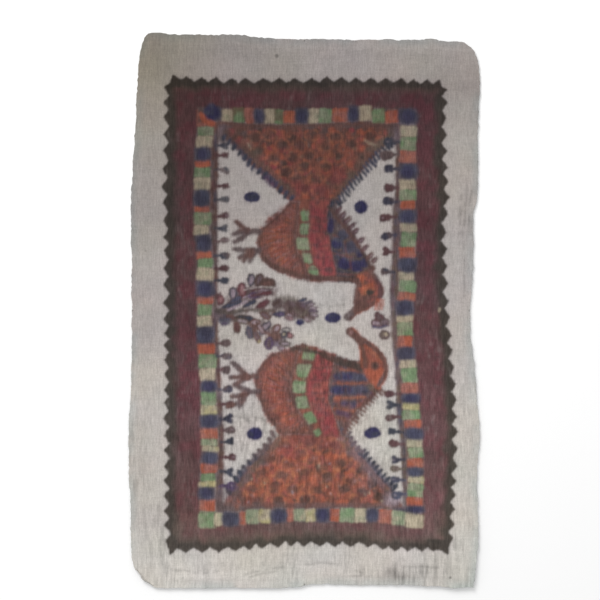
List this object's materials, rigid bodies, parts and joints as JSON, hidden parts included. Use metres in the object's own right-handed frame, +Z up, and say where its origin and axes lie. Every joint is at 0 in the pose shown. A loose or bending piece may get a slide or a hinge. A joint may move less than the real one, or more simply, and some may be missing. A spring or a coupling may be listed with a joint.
{
  "type": "painted cloth panel",
  "caption": "Hand-painted cotton panel with turned edges: a tree of life between two facing birds with fan tails, inside block, maroon and zigzag borders.",
  "frame": {"origin": "on the surface the panel lies on, under the middle of the panel", "axes": "+X to the right of the picture, +Y along the long side to the head of the picture, +Z up, out of the painted side"},
  "size_m": [0.176, 0.278, 0.0019],
  "materials": {
    "bare_cloth": "coarse crinkled weave, undyed, slightly soiled",
    "black_green": "thin brushed paint soaked into the weave, dry and matt",
    "maroon": "thin brushed paint soaked into the weave, dry and matt",
    "orange": "thin brushed paint soaked into the weave, dry and matt",
    "green": "thin brushed paint soaked into the weave, dry and matt",
    "crimson": "thin brushed paint soaked into the weave, dry and matt",
    "navy": "thin brushed paint soaked into the weave, dry and matt",
    "mauve": "thin brushed paint soaked into the weave, dry and matt",
    "brown": "thin brushed paint soaked into the weave, dry and matt",
    "mixed_blocks": "thin brushed paint soaked into the weave, dry and matt"
  },
  "bodies": {
    "root": {"ground_cloth": "bare_cloth", "hem_left": "bare_cloth", "hem_right": "bare_cloth", "hem_top": "bare_cloth", "hem_bottom": "bare_cloth", "block_border_bottom": "mixed_blocks", "block_border_left": "mixed_blocks", "block_border_right": "mixed_blocks", "block_border_top": "mixed_blocks", "dot_lower_left": "navy", "dot_lower_right": "navy", "dot_middle": "navy", "dot_upper_left": "navy", "dot_upper_right": "navy", "flower_bud_large": "mauve", "flower_bud_small": "mauve", "inner_line": "mauve", "lower_bird_breast": "orange", "lower_bird_foot_a": "brown", "lower_bird_foot_b": "brown", "lower_bird_green_band": "green", "lower_bird_head": "orange", "lower_bird_red_band": "crimson", "lower_bird_wing": "navy", "lower_tail": "orange", "maroon_border": "maroon", "tree_lower_branch": "brown", "tree_trunk": "brown", "tree_upper_branch": "brown", "upper_bird_breast": "orange", "upper_bird_foot_a": "brown", "upper_bird_foot_b": "brown", "upper_bird_green_band": "green", "upper_bird_head": "orange", "upper_bird_red_band": "crimson", "upper_bird_wing": "navy", "upper_tail": "orange", "zigzag_edging": "black_green"}
  },
  "joints": []
}
